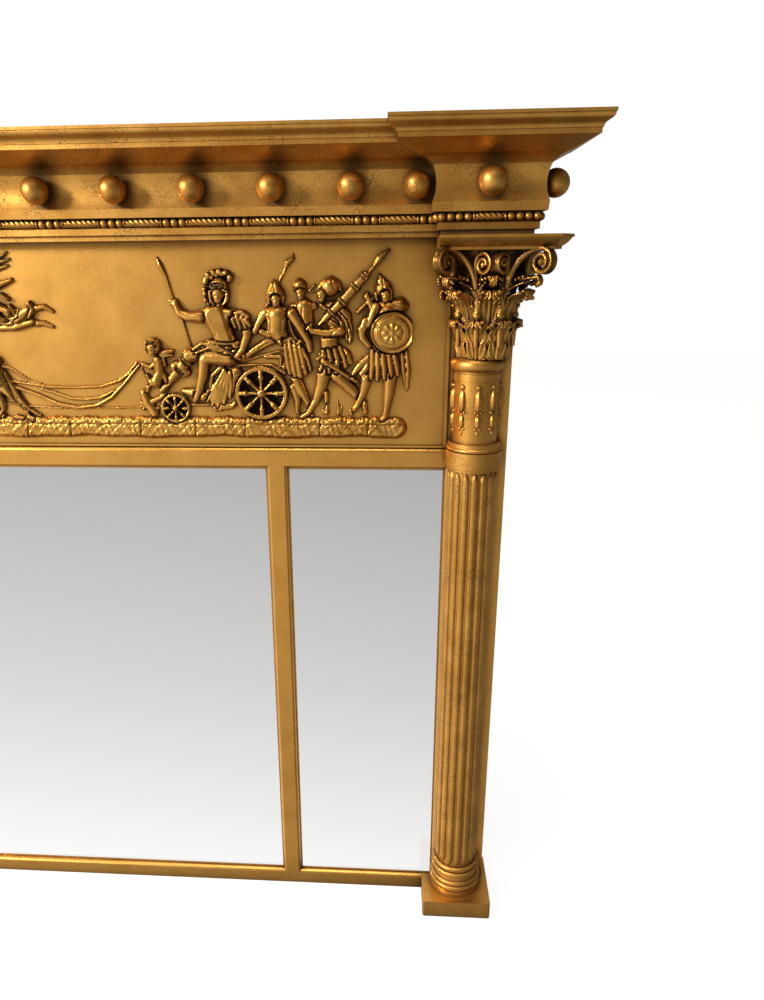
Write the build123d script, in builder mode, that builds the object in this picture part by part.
from build123d import *
import math
import os

os.makedirs("parts", exist_ok=True)

# A gilt overmantel mirror that stands on a chimney shelf. X runs along its width, Y goes back
# towards the wall and Z is up. The origin is at the middle of the rectangle that it stands over.

# Widths, measured out from the centre line
column_axis = 565.6
stile_width = 58.7
stile_past_axis = 34.6
centre_sight_width = 690.8
muntin_width = 13.6
slip_width = 6.0

# Heights
bottom_rail_height = 14.0
sight_height = 539.0
frieze_rail_height = 21.5
frieze_height = 205.5
architrave_height = 20.0
cove_height = 55.4
cap_height = 17.1

# Depths
carcass_depth = 30.0
centre_reach = 20.0
corner_reach = 45.0
cap_overhang = 43.0
board_thickness = 16.0
backboard_thickness = 4.0
glass_thickness = 4.0
slip_depth = 7.0

# Corner blocks of the cornice, measured at the narrowest part of the cove
corner_half_width = 48.0

# Plinth and column
plinth_width = 82.0
plinth_height = 24.0
plinth_reach = 43.4
column_set = 5.0
base_radius = 31.0
base_height = 40.0
shaft_radius = 26.3
reed_count = 16
collar_radius = 29.2
collar_height = 28.5
neck_radius = 22.7
neck_height = 63.0
astragal_radius = 27.0
astragal_gap = 9.0
astragal_height = 13.0
capital_height = 100.0
capital_shift = 5.0

# Abacus over each capital
abacus_height = 12.5
abacus_reach = 60.0
abacus_inner = 44.0
abacus_outer = 75.0
abacus_inset = 9.5
abacus_cut = 13.0

# Cornice balls
ball_radius = 12.6
ball_seat = 11.6
ball_pitch = 73.6
ball_pairs = 6
end_ball = 501.9
ball_height = 24.0

# Strap hangers on the back
wire_radius = 1.6
pivot_gap = 0.05
strap_thickness = 1.5
loop_wall = 1.8
strap_width = 16.0
strap_length = 52.0
ring_inner_width = 26.0
ring_inner_height = 20.0
hanger_height = 705.0

# Clearances
joint_gap = 0.1
glass_gap = 1.0

# Places worked out from the sizes above
stile_outer = column_axis + stile_past_axis
stile_inner = stile_outer - stile_width
centre_sight = centre_sight_width / 2
muntin_inner = centre_sight + slip_width
muntin_outer = muntin_inner + muntin_width
side_sight_inner = muntin_outer + slip_width
side_sight_outer = stile_inner - slip_width
sight_bottom = bottom_rail_height + slip_width
sight_top = sight_bottom + sight_height
frieze_rail_bottom = sight_top + slip_width
frieze_bottom = frieze_rail_bottom + frieze_rail_height
frieze_top = frieze_bottom + frieze_height
cove_bottom = frieze_top + architrave_height
cap_bottom = cove_bottom + cove_height
frame_top = cap_bottom + cap_height
loop_radius = wire_radius + pivot_gap + loop_wall
front_depth = corner_reach + cap_overhang
back_depth = carcass_depth + 2 * loop_radius
face_y = (front_depth - back_depth) / 2
back_y = face_y + carcass_depth
glass_y = face_y + slip_depth
column_y = face_y - column_set
corner_inner = column_axis - corner_half_width
capital_top = frieze_top - abacus_height
capital_bottom = capital_top - capital_height
astragal_bottom = capital_bottom - astragal_height
drum_bottom = astragal_bottom - astragal_gap - neck_height
collar_bottom = drum_bottom - collar_height


def save(piece, name):
    """Names a finished piece and writes it."""
    piece.part.label = name
    export_step(piece.part, f"parts/{name}.step")


def block(low, high, mode=Mode.ADD):
    """A square-edged block between two corners."""
    size = [b - a for a, b in zip(low, high)]
    middle = [(a + b) / 2 for a, b in zip(low, high)]
    with Locations(tuple(middle)):
        return Box(*size, mode=mode)


# Stiles: full-height boards behind the columns, mortised for the rails
tenon_length = 20.0
tenon_thickness = 10.0
tenon_shoulder = 2.0
tenon_y = face_y + (carcass_depth - tenon_thickness) / 2


def rail_tenon(side, low, high, gap=0.0, mode=Mode.ADD):
    """A rail's tenon, or with a gap the mortise that takes it."""
    ends = sorted((side * stile_inner, side * (stile_inner + tenon_length + gap)))
    block(
        (ends[0], tenon_y - gap, low + tenon_shoulder - gap),
        (ends[1], tenon_y + tenon_thickness + gap, high - tenon_shoulder + gap),
        mode,
    )


# Wood screws, as the places where they go in and the pilot holes that take them
screw_radius = 1.75
screw_head_radius = 3.25
screw_length = 16.0
screw_gap = 0.05
backboard_edge = 34.0
backboard_half = stile_inner + backboard_edge
backboard_low = 3.0
backboard_high = frieze_rail_bottom + frieze_rail_height - 4.0
board_screw_x = backboard_half - 12.0
board_screw_spots = [
    (side * board_screw_x, height)
    for side in (-1, 1)
    for height in (60.0, 290.0, 520.0)
] + [
    (side * across, height)
    for side in (-1, 1)
    for across in (120.0, 300.0)
    for height in (bottom_rail_height / 2, frieze_rail_bottom + frieze_rail_height / 2)
]
hanger_x = column_axis
strap_screw_drops = (14.0, 40.0)


def pilot_holes(spots):
    """Blind holes bored from the back for screws at these places."""
    for across, height in spots:
        with Locations(Plane((across, back_y, height), z_dir=(0, -1, 0))):
            Cylinder(
                screw_radius + screw_gap,
                screw_length,
                align=(Align.CENTER, Align.CENTER, Align.MIN),
                mode=Mode.SUBTRACT,
            )


def wood_screws(spots, head_y):
    """Countersunk screws driven forwards, with their heads flush at head_y."""
    for across, height in spots:
        with Locations(Plane((across, head_y, height), z_dir=(0, -1, 0))):
            Cone(
                screw_head_radius,
                screw_radius,
                screw_head_radius - screw_radius,
                align=(Align.CENTER, Align.CENTER, Align.MIN),
            )
            Cylinder(
                screw_radius,
                screw_length - joint_gap,
                align=(Align.CENTER, Align.CENTER, Align.MIN),
            )


def screw_sinks(spots, head_y, through):
    """Countersunk clearance holes through a plate whose back is at head_y."""
    for across, height in spots:
        with Locations(Plane((across, head_y, height), z_dir=(0, -1, 0))):
            Cone(
                screw_head_radius + screw_gap,
                screw_radius + screw_gap,
                screw_head_radius - screw_radius,
                align=(Align.CENTER, Align.CENTER, Align.MIN),
                mode=Mode.SUBTRACT,
            )
            Cylinder(
                screw_radius + screw_gap,
                through,
                align=(Align.CENTER, Align.CENTER, Align.MIN),
                mode=Mode.SUBTRACT,
            )


for hand, side in (("left", -1), ("right", 1)):
    strap_spots = [(side * hanger_x, hanger_height - drop) for drop in strap_screw_drops]
    own_spots = [spot for spot in board_screw_spots if abs(spot[0]) > stile_inner and spot[0] * side > 0]
    edges = sorted((side * stile_inner, side * stile_outer))
    with BuildPart() as stile:
        block((edges[0], face_y, 0), (edges[1], back_y, frieze_top))
        rail_tenon(side, 0, bottom_rail_height, joint_gap, Mode.SUBTRACT)
        rail_tenon(side, frieze_rail_bottom, frieze_bottom, joint_gap, Mode.SUBTRACT)
        pilot_holes(own_spots + strap_spots)
    save(stile, f"{hand}_stile")

# Bottom rail and frieze rail, with mortises for the muntins
muntin_middle = (muntin_inner + muntin_outer) / 2
stub_length = 6.0
stub_width = 7.0
rail_spots = [spot for spot in board_screw_spots if abs(spot[0]) < stile_inner]


def muntin_stub(side, start, direction, gap=0.0, mode=Mode.ADD):
    """The stub tenon on a muntin's end, or with a gap its mortise."""
    heights = sorted((start, start + direction * (stub_length + gap)))
    middle = side * muntin_middle
    half = stub_width / 2 + gap
    block(
        (middle - half, tenon_y - gap, heights[0]),
        (middle + half, tenon_y + tenon_thickness + gap, heights[1]),
        mode,
    )


with BuildPart() as bottom_rail:
    block((-stile_inner, face_y, 0), (stile_inner, back_y, bottom_rail_height))
    for side in (-1, 1):
        rail_tenon(side, 0, bottom_rail_height)
        muntin_stub(side, bottom_rail_height, -1, joint_gap, Mode.SUBTRACT)
    pilot_holes([spot for spot in rail_spots if spot[1] < sight_bottom])
save(bottom_rail, "bottom_rail")

quarter_round = 4.5
ground_sink = 4.0
bead_height = 2.0
bead_quirk = 1.0
with BuildPart() as frieze_rail:
    with BuildSketch(Plane.YZ):
        with BuildLine():
            round_bottom = frieze_bottom - bead_height - bead_quirk - quarter_round
            round_top = round_bottom + quarter_round
            Polyline(
                (face_y, round_bottom),
                (face_y, frieze_rail_bottom),
                (back_y, frieze_rail_bottom),
                (back_y, frieze_bottom),
                (face_y + ground_sink / 2, frieze_bottom),
                (face_y + ground_sink / 2, round_top + bead_quirk),
                (face_y + ground_sink, round_top + bead_quirk),
                (face_y + ground_sink, round_top),
            )
            RadiusArc((face_y, round_bottom), (face_y + ground_sink, round_top), quarter_round)
        make_face()
    extrude(amount=stile_inner, both=True)
    for side in (-1, 1):
        rail_tenon(side, frieze_rail_bottom, frieze_bottom)
        muntin_stub(side, frieze_rail_bottom, 1, joint_gap, Mode.SUBTRACT)
    pilot_holes([spot for spot in rail_spots if spot[1] > sight_top])
save(frieze_rail, "frieze_rail")

for hand, side in (("left", -1), ("right", 1)):
    edges = sorted((side * muntin_inner, side * muntin_outer))
    with BuildPart() as muntin:
        block((edges[0], face_y, bottom_rail_height), (edges[1], back_y, frieze_rail_bottom))
        muntin_stub(side, bottom_rail_height, -1)
        muntin_stub(side, frieze_rail_bottom, 1)
    save(muntin, f"{hand}_muntin")

# Frieze board: the ground is sunk between banded ends that meet the stiles
end_band = 7.2
band_groove = 2.0
groove_place = 3.3
with BuildPart() as frieze_board:
    block((-stile_inner, face_y, frieze_bottom), (stile_inner, face_y + board_thickness, frieze_top))
    ground_half = stile_inner - end_band
    block(
        (-ground_half, face_y, frieze_bottom),
        (ground_half, face_y + ground_sink, frieze_top),
        Mode.SUBTRACT,
    )
    for side in (-1, 1):
        groove_x = side * (ground_half + groove_place + band_groove / 2)
        block(
            (groove_x - band_groove / 2, face_y, frieze_bottom),
            (groove_x + band_groove / 2, face_y + band_groove, frieze_top),
            Mode.SUBTRACT,
        )
save(frieze_board, "frieze_board")

# Top rail: ties the corner blocks together and backs the centre length of the cornice
top_rail_front = face_y + board_thickness / 2
with BuildPart() as top_rail:
    block((-corner_inner, top_rail_front, frieze_top), (corner_inner, back_y, frame_top))
save(top_rail, "top_rail")

# Sight mouldings: four mitred slips round each plate, a hollow front and a fine bead inside
slip_bead = 1.6
slip_round = 1.2


def mitred_slip(corner_x, corner_z, run_x, run_z, length):
    """One length that starts at a sight corner and runs along run_x, run_z."""
    middle = Plane(
        origin=(corner_x + run_x * length / 2, face_y, corner_z + run_z * length / 2),
        x_dir=(run_z, 0, -run_x),
        z_dir=(run_x, 0, run_z),
    )
    with BuildPart() as slip:
        with BuildSketch(middle):
            with BuildLine():
                Polyline(
                    (slip_width - slip_round, 0),
                    (slip_width, 0),
                    (slip_width, slip_depth),
                    (0, slip_depth),
                    (0, slip_depth - slip_bead),
                    (slip_bead, slip_depth - slip_bead),
                )
                ThreePointArc(
                    (slip_bead, slip_depth - slip_bead),
                    (slip_bead + 0.9, 1.9),
                    (slip_width - slip_round, 0),
                )
            make_face()
        extrude(amount=length / 2 + slip_width, both=True)
        for end in (-1, 1):
            mitre = Plane(
                origin=(
                    corner_x + run_x * length * (1 + end) / 2,
                    face_y,
                    corner_z + run_z * length * (1 + end) / 2,
                ),
                x_dir=(0, 1, 0),
                z_dir=(end * run_x - run_z, 0, end * run_z + run_x),
            )
            split(bisect_by=mitre, keep=Keep.BOTTOM)
    return slip.part


openings = {
    "left": (-side_sight_outer, -side_sight_inner),
    "centre": (-centre_sight, centre_sight),
    "right": (side_sight_inner, side_sight_outer),
}
for place, (left, right) in openings.items():
    slips = [
        mitred_slip(left, sight_bottom, 1, 0, right - left),
        mitred_slip(right, sight_bottom, 0, 1, sight_height),
        mitred_slip(right, sight_top, -1, 0, right - left),
        mitred_slip(left, sight_top, 0, -1, sight_height),
    ]
    with BuildPart() as sight:
        add(slips)
    save(sight, f"{place}_sight_moulding")

# Mirror plates: silvered glass that sits behind the slips
plate_lap = slip_width - glass_gap
for place, (left, right) in openings.items():
    with BuildPart() as plate:
        block(
            (left - plate_lap, glass_y, sight_bottom - plate_lap),
            (right + plate_lap, glass_y + glass_thickness, sight_top + plate_lap),
        )
    save(plate, f"{place}_mirror_plate")

# Glazing blocks: short triangular softwood blocks glued behind the plates
block_length = 40.0
block_leg = 5.5
block_depth = 9.0
glass_back = glass_y + glass_thickness


block_places = []
for left, right in openings.values():
    middle = (left + right) / 2
    spread = (right - left) / 4
    for across in (middle - spread, middle + spread):
        block_places.append((across, bottom_rail_height, 0, -1))
        block_places.append((across, frieze_rail_bottom, 0, 1))
    for height in (sight_bottom + sight_height / 4, sight_top - sight_height / 4):
        block_places.append((left - slip_width, height, -1, 0))
        block_places.append((right + slip_width, height, 1, 0))
with BuildPart() as glazing_blocks:
    for edge_x, edge_z, out_x, out_z in block_places:
        seat = Plane(
            origin=(
                edge_x - out_z * block_length / 2,
                glass_back,
                edge_z + out_x * block_length / 2,
            ),
            x_dir=(-out_x, 0, -out_z),
            z_dir=(out_z, 0, -out_x),
        )
        with BuildSketch(seat):
            Polygon((0, 0), (block_leg, 0), (0, block_depth), align=None)
        extrude(amount=block_length)
save(glazing_blocks, "glazing_blocks")

# Backboard: one thin board over all three plates, screwed to stiles and rails
with BuildPart() as backboard:
    block(
        (-backboard_half, back_y, backboard_low),
        (backboard_half, back_y + backboard_thickness, backboard_high),
    )
    screw_sinks(board_screw_spots, back_y + backboard_thickness, backboard_thickness)
save(backboard, "backboard")
with BuildPart() as backboard_screws:
    wood_screws(board_screw_spots, back_y + backboard_thickness)
save(backboard_screws, "backboard_screws")

# Columns, modelled on the right and mirrored for the left. Each is a three-quarter column with
# its back cut flat against the stile.
column_front = Plane(origin=(column_axis, column_y, 0), x_dir=(1, 0, 0), z_dir=(0, -1, 0))
stile_face = Plane(origin=(0, face_y, 0), x_dir=(1, 0, 0), z_dir=(0, -1, 0))


def save_pair(piece, name):
    """Writes a right-hand piece and its mirror image."""
    save(piece, f"right_{name}")
    with BuildPart() as twin:
        mirror(piece.part, about=Plane.YZ)
    save(twin, f"left_{name}")


plinth_back_edge = column_axis + plinth_width / 2
plinth_corner = 2.5
with BuildPart() as plinth:
    block(
        (column_axis - plinth_width / 2, face_y - plinth_reach, 0),
        (plinth_back_edge, back_y, plinth_height),
    )
    fillet(
        plinth.edges().filter_by(Axis.Z).group_by(Axis.Y)[0],
        plinth_corner,
    )
    fillet(plinth.edges().group_by(Axis.Z)[0].sort_by(Axis.Y)[0], plinth_corner)
    block((stile_inner - plinth_width, face_y, 0), (stile_outer, back_y, plinth_height), Mode.SUBTRACT)
save_pair(plinth, "plinth")

# Column base: a plain skirt, two rings, a hollow and two more rings
skirt_height = 7.0
skirt_taper = 1.0
ring_radii = (31.5, 30.0, 29.5, 28.0)
ring_levels = (
    plinth_height + 8.0,
    plinth_height + 14.2,
    plinth_height + 26.6,
    plinth_height + 33.4,
)
ring_half = 3.1
hollow_radius = 27.0
base_top = plinth_height + base_height
with BuildPart() as column_base:
    with BuildSketch(Plane.XZ.offset(-column_y)):
        with BuildLine():
            Polyline(
                (ring_radii[3] - ring_half, base_top),
                (0, base_top),
                (0, plinth_height),
                (base_radius, plinth_height),
                (base_radius - skirt_taper, plinth_height + skirt_height),
                (ring_radii[0] - ring_half, plinth_height + skirt_height),
                (ring_radii[0] - ring_half, ring_levels[0]),
            )
            for number, (radius, level) in enumerate(zip(ring_radii, ring_levels)):
                if number:
                    Line(turn, (radius - ring_half, level))
                turn = (radius - ring_half, level + 2 * ring_half)
                ThreePointArc((radius - ring_half, level), (radius, level + ring_half), turn)
            Line(turn, (ring_radii[3] - ring_half, base_top))
        make_face()
    revolve(axis=Axis((0, column_y, 0), (0, 0, 1)))
    split(bisect_by=stile_face, keep=Keep.TOP)
with BuildPart() as placed_base:
    with Locations((column_axis, 0, 0)):
        add(column_base.part)
save_pair(placed_base, "column_base")

# Column shaft: convex reeds with a narrow flat between each two
reed_angle = 17.5
reed_rise = 2.2
valley_radius = shaft_radius - reed_rise
with BuildPart() as shaft:
    with BuildSketch(Plane.XY.offset(base_top)):
        with Locations((column_axis, column_y)):
            with BuildLine():
                pitch = 360 / reed_count
                for reed in range(reed_count):
                    middle = reed * pitch - 90
                    start = middle - reed_angle / 2
                    end = middle + reed_angle / 2
                    spots = [
                        (
                            column_axis + radius * math.cos(math.radians(angle)),
                            column_y + radius * math.sin(math.radians(angle)),
                        )
                        for radius, angle in (
                            (valley_radius, start),
                            (shaft_radius, middle),
                            (valley_radius, end),
                            (valley_radius, start + pitch),
                        )
                    ]
                    ThreePointArc(*spots[:3])
                    Line(spots[2], spots[3])
        make_face()
    extrude(amount=collar_bottom - base_top)
    split(bisect_by=stile_face, keep=Keep.TOP)
save_pair(shaft, "column_shaft")

# Column neck: turned collar, plain drum and the astragal under the capital, in one turning
lip_height = 3.0
band_height = 20.0
ring_line = collar_bottom + band_height
capital_centre = column_axis + capital_shift
with BuildPart() as neck:
    with BuildSketch(Plane.XZ.offset(-column_y)):
        with BuildLine():
            Polyline(
                (0, capital_bottom),
                (0, collar_bottom),
                (collar_radius - 1.2, collar_bottom),
                (collar_radius - 1.2, collar_bottom + lip_height),
                (collar_radius, collar_bottom + lip_height),
                (collar_radius, ring_line),
                (collar_radius - 2.0, ring_line),
            )
            ThreePointArc(
                (collar_radius - 2.0, ring_line),
                (collar_radius - 0.4, ring_line + 2.2),
                (collar_radius - 2.0, ring_line + 4.4),
            )
            Polyline(
                (collar_radius - 2.0, ring_line + 4.4),
                (collar_radius - 2.4, drum_bottom),
                (neck_radius, drum_bottom),
                (neck_radius, drum_bottom + neck_height),
                (neck_radius + 0.9, drum_bottom + neck_height),
                (neck_radius + 0.9, astragal_bottom - 2.0),
                (neck_radius, astragal_bottom - 2.0),
                (neck_radius, astragal_bottom),
            )
            ThreePointArc(
                (neck_radius, astragal_bottom),
                (astragal_radius, (astragal_bottom + capital_bottom) / 2),
                (neck_radius, capital_bottom),
            )
            Line((neck_radius, capital_bottom), (0, capital_bottom))
        make_face()
    revolve(axis=Axis((0, column_y, 0), (0, 0, 1)))
    split(bisect_by=stile_face, keep=Keep.TOP)
with BuildPart() as placed_neck:
    with Locations((column_axis, 0, 0)):
        add(neck.part)
save_pair(placed_neck, "column_neck")

# Husk drops: flat-backed bell-flower husks on the drum, each a bead, a long husk and a small one
husk_top = drum_bottom + neck_height - 3.0
husk_turns = (-84, -42, 0, 42, 84)
with BuildPart() as husk:
    with BuildSketch(Plane.XZ):
        with BuildLine():
            Polyline((0, husk_top - 52), (0, husk_top), (1.2, husk_top))
            ThreePointArc((1.2, husk_top), (3.2, husk_top - 3.0), (1.4, husk_top - 6.0))
            ThreePointArc((1.4, husk_top - 6.0), (3.6, husk_top - 18.0), (6.2, husk_top - 30.0))
            Line((6.2, husk_top - 30.0), (2.4, husk_top - 34.0))
            ThreePointArc((2.4, husk_top - 34.0), (3.4, husk_top - 41.0), (4.2, husk_top - 46.0))
            Line((4.2, husk_top - 46.0), (0, husk_top - 52))
        make_face()
    revolve(axis=Axis.Z, revolution_arc=180)
with BuildPart() as husks:
    for turn in husk_turns:
        around = math.radians(turn)
        spot = (
            column_axis + neck_radius * math.sin(around),
            column_y - neck_radius * math.cos(around),
            0,
        )
        with Locations(Location(spot, (0, 0, 1), turn + 180)):
            add(husk.part)
save_pair(husks, "husk_drops")

# Capital bell: the plain core that the leaves stand on
bell_radius = 24.0
bell_straight = 60.0
bell_lip_radius = 37.0
bell_lip = 4.0
with BuildPart() as bell:
    with BuildSketch(Plane.XZ.offset(-column_y)):
        with BuildLine():
            Polyline(
                (bell_lip_radius, capital_top - bell_lip),
                (bell_lip_radius, capital_top),
                (0, capital_top),
                (0, capital_bottom),
                (bell_radius, capital_bottom),
                (bell_radius, capital_bottom + bell_straight),
            )
            ThreePointArc(
                (bell_radius, capital_bottom + bell_straight),
                (bell_radius + 3.5, capital_bottom + bell_straight + 22.0),
                (bell_lip_radius, capital_top - bell_lip),
            )
        make_face()
    revolve(axis=Axis((0, column_y, 0), (0, 0, 1)))
    split(bisect_by=stile_face, keep=Keep.TOP)
with BuildPart() as placed_bell:
    with Locations((capital_centre, 0, 0)):
        add(bell.part)
save_pair(placed_bell, "capital_bell")


# Acanthus leaves: each rises against the bell, bends outwards and curls over at its tip. It is
# made round an upright axis at the origin, facing forwards, then turned to its place.
def acanthus_leaf(reach, height, half_width):
    """A leaf whose curled tip stands reach from the axis; height is up to the top of the bend."""
    low = capital_bottom
    top = low + height
    curl = 5.5
    thick = 3.2
    with BuildPart() as leaf:
        with BuildSketch(Plane.YZ):
            with BuildLine():
                ThreePointArc(
                    (-bell_radius, top - 22.0),
                    (-bell_radius - (reach - bell_radius) * 0.28, top - 8.0),
                    (-reach + curl, top),
                )
                ThreePointArc(
                    (-reach + curl, top),
                    (-reach + 0.8, top - 3.0),
                    (-reach, top - 2 * curl),
                )
                Line((-reach, top - 2 * curl), (-reach + thick, top - 2 * curl + 1.0))
                ThreePointArc(
                    (-reach + thick, top - 2 * curl + 1.0),
                    (-reach + thick + 1.4, top - thick - 2.4),
                    (-reach + curl + 1.5, top - thick),
                )
                ThreePointArc(
                    (-reach + curl + 1.5, top - thick),
                    (-bell_radius - (reach - bell_radius) * 0.34 - 1.5, top - 12.0),
                    (-bell_radius - thick - 0.6, top - 26.0),
                )
                Polyline(
                    (-bell_radius - thick - 0.6, top - 26.0),
                    (-bell_radius - thick, low),
                    (-bell_radius, low),
                    (-bell_radius, top - 22.0),
                )
            make_face()
        extrude(amount=half_width, both=True)
        with BuildSketch(Plane(origin=(0, 0, 0), x_dir=(1, 0, 0), z_dir=(0, -1, 0))):
            with BuildLine():
                lobes = (
                    (0.62, 0.0),
                    (1.0, 0.36),
                    (0.96, 0.62),
                    (0.74, 0.84),
                    (0.42, 1.0),
                )
                for side in (-1, 1):
                    for first, second in zip(lobes, lobes[1:]):
                        ends = [
                            (side * share * half_width, low + rise * height)
                            for share, rise in (first, second)
                        ]
                        middle = (
                            (ends[0][0] + ends[1][0]) / 2 + side * half_width * 0.07,
                            (ends[0][1] + ends[1][1]) / 2 + height * 0.03,
                        )
                        ThreePointArc(ends[0], middle, ends[1])
                Line((-0.62 * half_width, low), (0.62 * half_width, low))
                Line((-0.42 * half_width, top), (0.42 * half_width, top))
            make_face()
        extrude(amount=reach + 10, mode=Mode.INTERSECT)
    return leaf.part


lower_leaf = acanthus_leaf(reach=39.0, height=39.0, half_width=9.5)
front_leaf = acanthus_leaf(reach=48.0, height=76.0, half_width=9.5)
corner_leaf = acanthus_leaf(reach=57.0, height=74.0, half_width=9.5)
leaf_places = (
    (lower_leaf, (-67.5, -22.5, 22.5, 67.5)),
    (front_leaf, (-90, 0, 90)),
    (corner_leaf, (-45, 45)),
)
with BuildPart() as leaves:
    for leaf, turns in leaf_places:
        for turn in turns:
            with Locations(Location((capital_centre, column_y, 0), (0, 0, 1), turn)):
                add(leaf)
    split(bisect_by=stile_face, keep=Keep.TOP)
save_pair(leaves, "acanthus_leaves")


# Volutes: spiral scrolls under the abacus corners, and pairs of smaller helices on each face
def scroll(radius, band, thick, foot_in, foot_down):
    """A scroll in the XZ plane, wound round the origin and fed by a stem from foot_in, foot_down."""
    step = (radius - band) / 4.2
    with BuildPart() as curl:
        with BuildSketch(Plane.XZ):
            with BuildLine():
                high = radius
                low = -radius
                edge = (0, radius)
                for turn, shrink in ((1, 0.0), (-1, step), (1, 2 * step)):
                    reach = radius - shrink
                    middle = edge[1] - turn * reach
                    ends = (edge, (turn * reach, middle), (0, middle - turn * reach))
                    ThreePointArc(*ends)
                    edge = ends[2]
                tip = edge
                inner = (0, radius - band)
                for turn, shrink in ((1, band), (-1, band + step), (1, band + 2 * step)):
                    reach = radius - shrink
                    middle = inner[1] - turn * reach
                    ends = (inner, (turn * reach, middle), (0, middle - turn * reach))
                    ThreePointArc(*ends)
                    inner = ends[2]
                Line(tip, inner)
                TangentArc((0, radius), (-foot_in, -foot_down), tangent=(-1, 0))
                TangentArc((0, radius - band), (-foot_in + band, -foot_down), tangent=(-1, 0))
                Line((-foot_in, -foot_down), (-foot_in + band, -foot_down))
            make_face()
            with Locations((0, (tip[1] + inner[1]) / 2)):
                Circle(band * 1.1)
        extrude(amount=thick / 2, both=True)
    return curl.part


volute_reach = 62.0
volute_radius = 11.0
helix_radius = 8.6
volute = scroll(volute_radius, 3.0, 8.0, foot_in=27.0, foot_down=10.5)
helix = scroll(helix_radius, 2.6, 6.0, foot_in=9.0, foot_down=12.0)
helix_reach = 41.0
helix_side = 9.6
with BuildPart() as volutes:
    for turn in (-45, 45):
        around = math.radians(turn)
        with Locations(
            Location(
                (
                    capital_centre + volute_reach * math.sin(around),
                    column_y - volute_reach * math.cos(around),
                    capital_top - volute_radius,
                ),
                (0, 0, 1),
                turn - 90,
            )
        ):
            add(volute)
    for turn in (-90, 0, 90):
        around = math.radians(turn)
        for side in (-1, 1):
            with Locations(
                Location(
                    (
                        capital_centre
                        + helix_reach * math.sin(around)
                        + side * helix_side * math.cos(around),
                        column_y - helix_reach * math.cos(around) + side * helix_side * math.sin(around),
                        capital_top - helix_radius - 2.0,
                    ),
                    (0, 0, 1),
                    turn + (180 if side > 0 else 0),
                )
            ):
                add(helix)
    add(placed_bell.part, mode=Mode.SUBTRACT)
    add(leaves.part, mode=Mode.SUBTRACT)
    split(bisect_by=stile_face, keep=Keep.TOP)
save_pair(volutes, "volutes")


# Mouldings that break forward over the columns. A block is shaped by cutting the same outline
# from the front and from each side, so its corners come out as true mitres.
def outward(across, back, direction):
    """A drawing plane whose own x points outwards and whose own y points up."""
    out_x, out_y = direction
    return Plane(origin=(across, back, 0), x_dir=(out_x, out_y, 0), z_dir=(out_y, -out_x, 0))


# Abacus: a moulded slab with its front outer corner cut off at 45 degrees
abacus_back = -200.0
abacus_diagonal = (abacus_reach + abacus_outer - abacus_cut) / math.sqrt(2)


def abacus_outline(reach):
    """The abacus moulding, drawn out to its reach."""
    low = capital_top
    neck_reach = reach - abacus_inset
    Polyline(
        (neck_reach, low + 2.5),
        (neck_reach, low),
        (abacus_back, low),
        (abacus_back, frieze_top),
        (reach, frieze_top),
        (reach, frieze_top - 2.5),
        (reach - 1.5, frieze_top - 2.5),
    )
    ThreePointArc(
        (reach - 1.5, frieze_top - 2.5),
        (reach - 5.5, low + 5.0),
        (neck_reach, low + 2.5),
    )


with BuildPart() as abacus:
    with BuildSketch(outward(column_axis, face_y, (0, -1))):
        with BuildLine():
            abacus_outline(abacus_reach)
        make_face()
    extrude(amount=abacus_outer, both=True)
    for place, direction, reach in (
        (column_axis, (1, 0), abacus_outer),
        (column_axis, (1, -1), abacus_diagonal),
    ):
        with BuildSketch(outward(place, face_y, direction)):
            with BuildLine():
                abacus_outline(reach)
            make_face()
        extrude(amount=-abacus_back, both=True, mode=Mode.INTERSECT)
    block(
        (0, face_y - abacus_reach - 1, capital_top),
        (column_axis - abacus_inner, back_y, frieze_top),
        Mode.SUBTRACT,
    )
    block((0, face_y, capital_top), (stile_outer, -abacus_back, frieze_top), Mode.SUBTRACT)
    block((0, back_y, capital_top), (-5 * abacus_back, -2 * abacus_back, frieze_top), Mode.SUBTRACT)
save_pair(abacus, "abacus")

# Cornice outlines. Each is drawn out from the narrowest part of the cove, at the given reach.
lower_fascia = 5.0
upper_fascia = 6.0
bead_radius = 4.0
bead_in = 2.0
bead_level = frieze_top + 15.5


def architrave_outline(reach, back):
    """Two flat fasciae and the sunk face behind the beads."""
    Polyline(
        (back, frieze_top),
        (reach - 6.7, frieze_top),
        (reach - 6.7, frieze_top + lower_fascia),
        (reach - 3.0, frieze_top + lower_fascia),
        (reach - 3.0, frieze_top + lower_fascia + upper_fascia),
        (reach - bead_in - bead_radius, frieze_top + lower_fascia + upper_fascia),
        (reach - bead_in - bead_radius, cove_bottom),
        (back, cove_bottom),
        (back, frieze_top),
    )


def cove_outline(reach, back):
    """A fillet, the shallow hollow that the balls sit in and the slope up to the top moulding."""
    Polyline(
        (reach + 33.6, cap_bottom),
        (back, cap_bottom),
        (back, cove_bottom),
        (reach + 2.4, cove_bottom),
        (reach + 3.1, cove_bottom + 8.0),
    )
    ThreePointArc(
        (reach + 3.1, cove_bottom + 8.0),
        (reach, cove_bottom + 24.0),
        (reach + 3.2, cove_bottom + 38.0),
    )
    ThreePointArc(
        (reach + 3.2, cove_bottom + 38.0),
        (reach + 7.4, cove_bottom + 42.4),
        (reach + 14.3, cove_bottom + 45.6),
    )
    Line((reach + 14.3, cove_bottom + 45.6), (reach + 33.6, cap_bottom))


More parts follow.
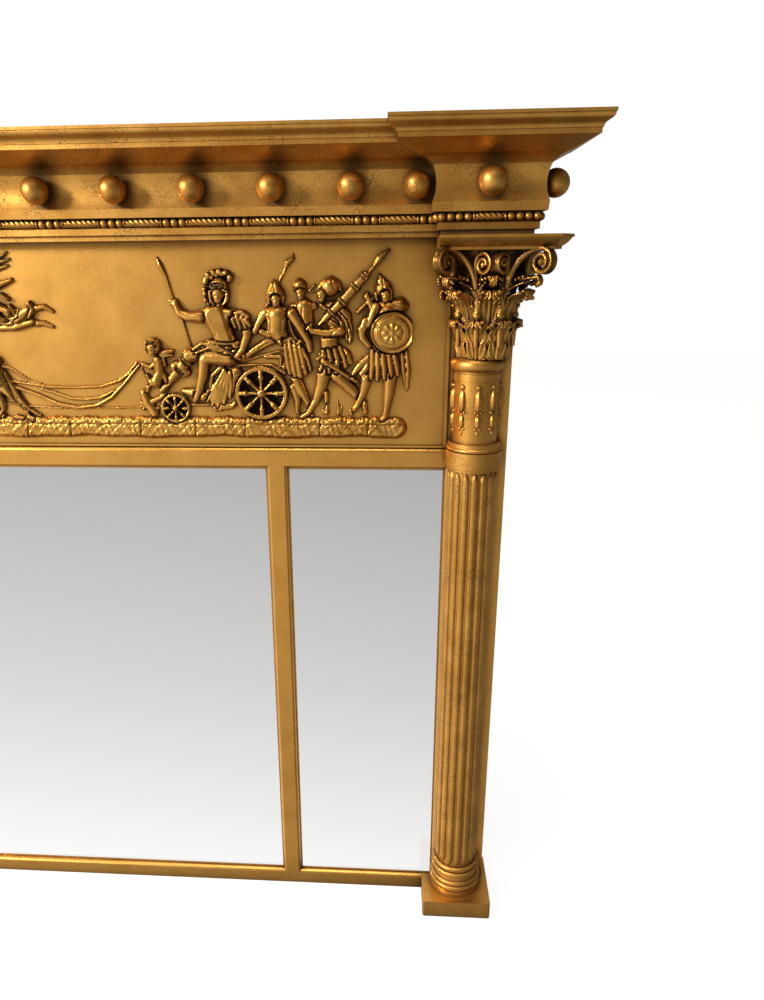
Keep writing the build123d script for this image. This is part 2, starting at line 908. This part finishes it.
def cap_outline(reach, back):
    """The top moulding: a fillet, an ogee and a square edge."""
    fillet_top = cap_bottom + 4.2
    Polyline(
        (reach + cap_overhang, frame_top - 2.6),
        (reach + cap_overhang, frame_top),
        (back, frame_top),
        (back, cap_bottom),
        (reach + 34.4, cap_bottom),
        (reach + 34.4, fillet_top),
        (reach + 35.2, fillet_top),
    )
    ThreePointArc(
        (reach + 35.2, fillet_top),
        (reach + 36.2, fillet_top + 2.9),
        (reach + 38.6, fillet_top + 4.9),
    )
    ThreePointArc(
        (reach + 38.6, fillet_top + 4.9),
        (reach + 41.4, fillet_top + 6.9),
        (reach + cap_overhang - 0.8, frame_top - 2.6),
    )
    Line((reach + cap_overhang - 0.8, frame_top - 2.6), (reach + cap_overhang, frame_top - 2.6))


# Cornice balls: each turned ball has a flat seat and a peg that enters the cove
peg_radius = 3.0
peg_length = 8.0
ball_proud = 1.5
ball_level = cove_bottom + ball_height
side_ball_y = face_y - 24.0
centre_ball_places = [ball_pitch * step for step in range(-ball_pairs, ball_pairs + 1)]
centre_ball_places += [-end_ball, end_ball]
front_seats = [(across, face_y - centre_reach, (0, -1)) for across in centre_ball_places]
right_corner_seats = [
    (column_axis, face_y - corner_reach, (0, -1)),
    (column_axis + corner_half_width, side_ball_y, (1, 0)),
]
left_corner_seats = [
    (-column_axis, face_y - corner_reach, (0, -1)),
    (-column_axis - corner_half_width, side_ball_y, (-1, 0)),
]


def peg_holes(seats):
    """Holes in the face of a cove for the pegs of its balls."""
    for across, face, (out_x, out_y) in seats:
        depth = peg_length + joint_gap
        with Locations(Plane((across + 5 * out_x, face + 5 * out_y, ball_level), z_dir=(-out_x, -out_y, 0))):
            Cylinder(
                peg_radius + screw_gap,
                depth + 5,
                align=(Align.CENTER, Align.CENTER, Align.MIN),
                mode=Mode.SUBTRACT,
            )


cornice_runs = (
    ("architrave", architrave_outline, frieze_top, cove_bottom),
    ("cove", cove_outline, cove_bottom, cap_bottom),
    ("cap_moulding", cap_outline, cap_bottom, frame_top),
)
for name, outline, low, high in cornice_runs:
    with BuildPart() as corner:
        with BuildSketch(outward(column_axis, face_y, (0, -1))):
            with BuildLine():
                outline(corner_reach, -carcass_depth)
            make_face()
        extrude(amount=2 * corner_half_width, both=True)
        for direction in ((1, 0), (-1, 0)):
            with BuildSketch(outward(column_axis, face_y, direction)):
                with BuildLine():
                    outline(corner_half_width, -2 * corner_half_width)
                make_face()
            extrude(amount=4 * corner_half_width, both=True, mode=Mode.INTERSECT)
        block((0, top_rail_front, low), (column_axis, back_y, high), Mode.SUBTRACT)
        block((corner_inner, top_rail_front, low), (column_axis, back_y, high))
        if name == "cove":
            peg_holes(right_corner_seats)
    save_pair(corner, f"corner_{name}")
    with BuildPart() as centre:
        with BuildSketch(outward(0, face_y, (0, -1))):
            with BuildLine():
                outline(centre_reach, face_y - top_rail_front)
            make_face()
        extrude(amount=column_axis, both=True)
        add(corner.part, mode=Mode.SUBTRACT)
        add(mirror(corner.part, about=Plane.YZ, mode=Mode.PRIVATE), mode=Mode.SUBTRACT)
        block((-stile_outer, -200, low), (-column_axis + 20, 200, high), Mode.SUBTRACT)
        block((column_axis - 20, -200, low), (stile_outer, 200, high), Mode.SUBTRACT)
        if name == "cove":
            peg_holes(front_seats)
    save(centre, f"centre_{name}")

# Bead course: the round strip under the cove, with its beads left plain
bead_y = face_y - centre_reach + bead_in
corner_bead_y = face_y - corner_reach + bead_in
bead_inner = corner_inner + bead_in
bead_outer = column_axis + corner_half_width - bead_in
bead_runs = [((-bead_inner, bead_y), (bead_inner, bead_y))]
for side in (-1, 1):
    bead_runs += [
        ((side * bead_inner, bead_y), (side * bead_inner, corner_bead_y)),
        ((side * bead_inner, corner_bead_y), (side * bead_outer, corner_bead_y)),
        ((side * bead_outer, corner_bead_y), (side * bead_outer, back_y)),
    ]
with BuildPart() as bead_course:
    for (start_x, start_y), (end_x, end_y) in bead_runs:
        run = Vector(end_x - start_x, end_y - start_y, 0)
        with Locations(Plane((start_x, start_y, bead_level), z_dir=run)):
            Cylinder(bead_radius, run.length, align=(Align.CENTER, Align.CENTER, Align.MIN))
    for side in (-1, 1):
        for corner_x in (bead_inner, bead_outer):
            with Locations((side * corner_x, corner_bead_y, bead_level)):
                Sphere(bead_radius)
save(bead_course, "bead_course")

with BuildPart() as ball:
    Sphere(ball_radius)
    block(
        (-ball_radius, ball_seat - ball_proud, -ball_radius),
        (ball_radius, ball_radius, ball_radius),
        Mode.SUBTRACT,
    )
    with Locations(Plane((0, 0, 0), z_dir=(0, 1, 0))):
        Cylinder(
            peg_radius,
            ball_seat + peg_length,
            align=(Align.CENTER, Align.CENTER, Align.MIN),
        )
with BuildPart() as cornice_balls:
    for across, face, (out_x, out_y) in front_seats + left_corner_seats + right_corner_seats:
        turn = 90 * out_x
        spot = (across + ball_seat * out_x, face + ball_seat * out_y, ball_level)
        with Locations(Location(spot, (0, 0, 1), turn)):
            add(ball.part)
save(cornice_balls, "cornice_balls")

# Strap hangers on the backs of the stiles, each with a D ring that swings in its rolled loop
ring_half = (ring_inner_width + 2 * wire_radius) / 2
ring_corner = 4.0
pivot_y = back_y + loop_radius
for hand, side in (("left", -1), ("right", 1)):
    centre_x = side * hanger_x
    spots = [(centre_x, hanger_height - drop) for drop in strap_screw_drops]
    with BuildPart() as strap:
        block(
            (centre_x - strap_width / 2, back_y, hanger_height - strap_length),
            (centre_x + strap_width / 2, back_y + strap_thickness, hanger_height),
        )
        with Locations(Plane((centre_x, pivot_y, hanger_height), z_dir=(1, 0, 0))):
            Cylinder(loop_radius, strap_width)
            Cylinder(wire_radius + pivot_gap, strap_width + 1, mode=Mode.SUBTRACT)
        screw_sinks(spots, back_y + strap_thickness, strap_thickness)
    save(strap, f"{hand}_hanger_strap")
    with BuildPart() as ring:
        with BuildLine(Plane(origin=(centre_x, pivot_y, hanger_height), x_dir=(1, 0, 0), z_dir=(0, -1, 0))):
            Line((0, 0), (ring_half - ring_corner, 0))
            RadiusArc((ring_half - ring_corner, 0), (ring_half, -ring_corner), ring_corner)
            Line((ring_half, -ring_corner), (ring_half, -ring_inner_height))
            ThreePointArc(
                (ring_half, -ring_inner_height),
                (0, -ring_inner_height - ring_half),
                (-ring_half, -ring_inner_height),
            )
            Line((-ring_half, -ring_inner_height), (-ring_half, -ring_corner))
            RadiusArc((-ring_half, -ring_corner), (-ring_half + ring_corner, 0), ring_corner)
            Line((-ring_half + ring_corner, 0), (0, 0))
        with BuildSketch(Plane((centre_x, pivot_y, hanger_height), z_dir=(1, 0, 0))):
            Circle(wire_radius)
        sweep()
    save(ring, f"{hand}_hanger_ring")
strap_spots = [
    (side * hanger_x, hanger_height - drop)
    for side in (-1, 1)
    for drop in strap_screw_drops
]
with BuildPart() as hanger_screws:
    wood_screws(strap_spots, back_y + strap_thickness)
save(hanger_screws, "hanger_screws")

# Frieze relief: a triumph in low relief, cast in sections that are set on the sunk ground.
# Places are given as distance along the frieze and height above its foot.
relief_ground = Plane(
    origin=(0, face_y + ground_sink, frieze_bottom),
    x_dir=(1, 0, 0),
    z_dir=(0, -1, 0),
)
strip_half = stile_inner - end_band - 39.0


def limb(start, end, start_radius, end_radius):
    """A tapering round-ended shape between two points."""
    across = end[0] - start[0]
    up = end[1] - start[1]
    heading = math.atan2(up, across)
    tangent = math.acos((start_radius - end_radius) / math.hypot(across, up))

    def spot(middle, radius, angle):
        return (middle[0] + radius * math.cos(angle), middle[1] + radius * math.sin(angle))

    start_left = spot(start, start_radius, heading + tangent)
    start_right = spot(start, start_radius, heading - tangent)
    end_left = spot(end, end_radius, heading + tangent)
    end_right = spot(end, end_radius, heading - tangent)
    with BuildSketch() as shape:
        with BuildLine():
            Line(start_left, end_left)
            ThreePointArc(end_left, spot(end, end_radius, heading), end_right)
            Line(end_right, start_right)
            ThreePointArc(start_right, spot(start, start_radius, heading + math.pi), start_left)
        make_face()
    return shape.sketch


def bent(start, end, bend, radii):
    """An arm or leg from start to end, with its elbow or knee pushed aside by bend."""
    across = end[0] - start[0]
    up = end[1] - start[1]
    length = math.hypot(across, up)
    joint = (
        (start[0] + end[0]) / 2 - up / length * bend,
        (start[1] + end[1]) / 2 + across / length * bend,
    )
    return [limb(start, joint, radii[0], radii[1]), limb(joint, end, radii[1], radii[2])]


def hanging(start, end, sag, radius):
    """A rein that hangs in a curve between two points."""
    spots = []
    for step in range(7):
        share = step / 6
        spots.append(
            (
                start[0] + share * (end[0] - start[0]),
                start[1] + share * (end[1] - start[1]) - 4 * sag * share * (1 - share),
            )
        )
    return [limb(first, second, radius, radius) for first, second in zip(spots, spots[1:])]


def person(head, hip, hands, feet, facing=-1):
    """A figure in a short tunic; each hand or foot is given with the bend of its joint."""
    head_radius = 7.0
    length = math.hypot(hip[0] - head[0], hip[1] - head[1])
    along = ((hip[0] - head[0]) / length, (hip[1] - head[1]) / length)
    shoulder = (head[0] + 17 * along[0], head[1] + 17 * along[1])
    shapes = [
        limb(head, (head[0] + 2, head[1] + 3), head_radius, head_radius),
        limb(head, shoulder, 4.0, 5.0),
        limb(shoulder, hip, 9.5, 8.0),
    ]
    for hand, bend in hands:
        shapes += bent(shoulder, hand, bend, (4.6, 3.6, 2.8))
    for foot, bend in feet:
        knee_side = (hip[0] + (foot[0] - hip[0]) * 0.3, hip[1] + (foot[1] - hip[1]) * 0.3)
        shapes.append(limb(hip, knee_side, 8.0, 9.0))
        shapes += bent(hip, foot, bend, (6.0, 4.6, 3.2))
        shapes.append(limb(foot, (foot[0] + 9 * facing, foot[1] - 1), 3.2, 2.4))
    return shapes


# The chariot's wheels stand in front of everything else
wheels = ((254.0, 41.0, 15.5), (346.0, 56.0, 27.5))
wheel_rim = 5.0
spoke_count = 8
wheel_shapes = []
for middle_x, middle_z, radius in wheels:
    with BuildSketch() as wheel:
        with Locations((middle_x, middle_z)):
            Circle(radius)
            Circle(radius - wheel_rim * radius / 27.5, mode=Mode.SUBTRACT)
            Circle(radius * 0.2)
    wheel_shapes.append(wheel.sketch)
    for spoke in range(spoke_count):
        turn = 2 * math.pi * spoke / spoke_count
        wheel_shapes.append(
            limb(
                (middle_x + 0.1 * radius * math.cos(turn), middle_z + 0.1 * radius * math.sin(turn)),
                (middle_x + 0.84 * radius * math.cos(turn), middle_z + 0.84 * radius * math.sin(turn)),
                radius * 0.05,
                radius * 0.09,
            )
        )

# The seated rider with a spear, and a winged child at the front of the chariot
rider_shapes = (
    person((308, 155), (309, 106), [((262, 149), 6), ((324, 96), 14)], [])
    + bent((309, 106), (240, 60), -16, (9.0, 7.0, 4.0))
    + bent((309, 104), (278, 51), -14, (9.0, 7.0, 4.0))
    + [
        limb((290, 167), (318, 176), 4.0, 6.0),
        limb((300, 86), (310, 50), 12.0, 7.0),
        limb((278, 104), (246, 191), 1.6, 1.6),
        limb((249, 183), (244, 195), 4.0, 1.7),
    ]
    + person((235, 103), (240, 76), [((218, 88), 2)], [])
    + bent((240, 76), (222, 54), -6, (6.0, 5.0, 3.0))
    + [limb((246, 92), (257, 104), 6.0, 3.0)]
)

# The chariot body: floor, nose, side panel and scrolled seat arm, with the pole to the team
chariot_shapes = [
    limb((240, 46), (322, 45), 4.5, 4.5),
    limb((216, 54), (240, 45), 5.0, 5.5),
    limb((262, 64), (258, 48), 7.0, 7.0),
    limb((334, 90), (350, 106), 5.5, 5.0),
    limb((350, 106), (366, 111), 5.0, 6.0),
    limb((352, 94), (340, 64), 9.0, 16.0),
    limb((322, 54), (352, 54), 9.0, 16.0),
    limb((60, 46), (222, 42), 2.0, 3.0),
]

# Attendants who walk behind the chariot with a spear, a torch and a round shield
attendant_shapes = (
    person((364, 152), (364, 108), [((399, 103), 8), ((352, 130), 4)], [((392, 35), 4), ((378, 35), 2)])
    + person((389, 158), (392, 114), [], [])
    + person((413, 156), (416, 106), [((400, 118), 8)], [((389, 34), 6), ((455, 38), 10)])
    + person((472, 157), (472, 102), [((455, 151), 12)], [((472, 33), 3), ((449, 34), 6)])
    + [
        limb((339, 121), (372, 177), 1.6, 1.6),
        limb((374, 179), (383, 192), 4.0, 1.7),
        limb((404, 122), (455, 174), 4.6, 5.0),
        limb((455, 174), (477, 196), 3.0, 1.5),
        limb((432, 142), (438, 108), 6.0, 8.0),
        limb((478, 114), (484, 121), 20.0, 20.0),
        limb((491, 98), (498, 60), 3.0, 2.6),
        limb((414, 87), (445, 68), 2.6, 2.6),
    ]
)


# The team of horses, seen one behind another, with the reins and a flying figure over them
def horse(chest_x):
    """A stepping horse whose chest is at chest_x."""
    return (
        [
            limb((chest_x, 82), (chest_x + 66, 82), 17.0, 18.0),
            limb((chest_x + 66, 82), (chest_x + 80, 78), 18.0, 15.0),
            limb((chest_x - 2, 86), (chest_x - 26, 126), 15.0, 8.5),
            limb((chest_x - 26, 126), (chest_x - 43, 108), 8.5, 4.5),
            limb((chest_x - 22, 132), (chest_x - 20, 140), 3.0, 1.6),
        ]
        + bent((chest_x + 76, 70), (chest_x + 92, 34), 8, (9.0, 4.5, 3.0))
        + bent((chest_x + 70, 70), (chest_x + 66, 34), 7, (8.0, 4.5, 3.0))
        + bent((chest_x + 2, 72), (chest_x - 26, 48), 10, (7.0, 4.5, 3.0))
        + bent((chest_x + 6, 70), (chest_x + 2, 34), -4, (7.0, 4.5, 3.0))
    )


horse_shapes = (
    horse(18)
    + horse(-14)
    + horse(-44)
    + bent((98, 82), (112, 48), 6, (4.0, 4.0, 2.5))
    + hanging((60, 90), (218, 88), 46, 1.5)
    + hanging((60, 78), (216, 86), 26, 1.5)
    + [
        limb((84, 156), (104, 138), 8.0, 9.0),
        limb((104, 138), (132, 125), 9.0, 3.4),
        limb((104, 138), (135, 139), 8.0, 3.0),
        limb((72, 170), (84, 156), 6.5, 6.5),
        limb((90, 162), (112, 178), 6.0, 4.0),
        limb((112, 178), (96, 194), 4.0, 2.0),
        limb((78, 158), (48, 166), 4.0, 2.6),
    ]
)

# Those who lead the way: standard bearer, trumpeters and captives
leader_shapes = []
for step, (along, lean, hand_up) in enumerate(
    (
        (-128, 2, 148),
        (-176, -3, 136),
        (-226, 3, 158),
        (-284, -2, 130),
        (-340, 3, 152),
        (-396, -3, 134),
        (-448, 2, 156),
    )
):
    stride = 13 if step % 2 else 17
    leader_shapes += person(
        (along + lean, 156),
        (along, 106),
        [((along - 24, hand_up), -10), ((along + 16, 108), 6)],
        [((along - stride, 34), 4), ((along + stride, 34), 8)],
    )
    if step % 2 == 0:
        leader_shapes.append(limb((along - 28, 78), (along - 22, 192), 1.6, 1.6))
        leader_shapes.append(limb((along - 25, 182), (along - 19, 192), 5.0, 6.0))
    else:
        leader_shapes.append(limb((along + 14, 144), (along + 20, 86), 7.0, 10.0))

strip_shapes = [
    limb((-strip_half + 22, 20), (strip_half - 10, 20), 11.0, 11.0),
    limb((-strip_half + 12, 10.9), (strip_half - 4, 10.9), 4.2, 4.2),
]

relief_sections = (
    ("chariot_wheels", wheel_shapes, 9.5),
    ("chariot_riders", rider_shapes, 8.5),
    ("chariot_body", chariot_shapes, 6.5),
    ("attendants", attendant_shapes, 7.5),
    ("horse_team", horse_shapes, 8.0),
    ("leading_figures", leader_shapes, 7.5),
    ("relief_ground_strip", strip_shapes, 6.0),
)
placed_outlines = []
for name, shapes, proud in relief_sections:
    with BuildSketch() as outline:
        add(shapes)
        if placed_outlines:
            add(placed_outlines, mode=Mode.SUBTRACT)
    with BuildPart() as section:
        with BuildSketch(relief_ground):
            add(outline.sketch)
        extrude(amount=proud)
    save(section, name)
    placed_outlines.append(outline.sketch)
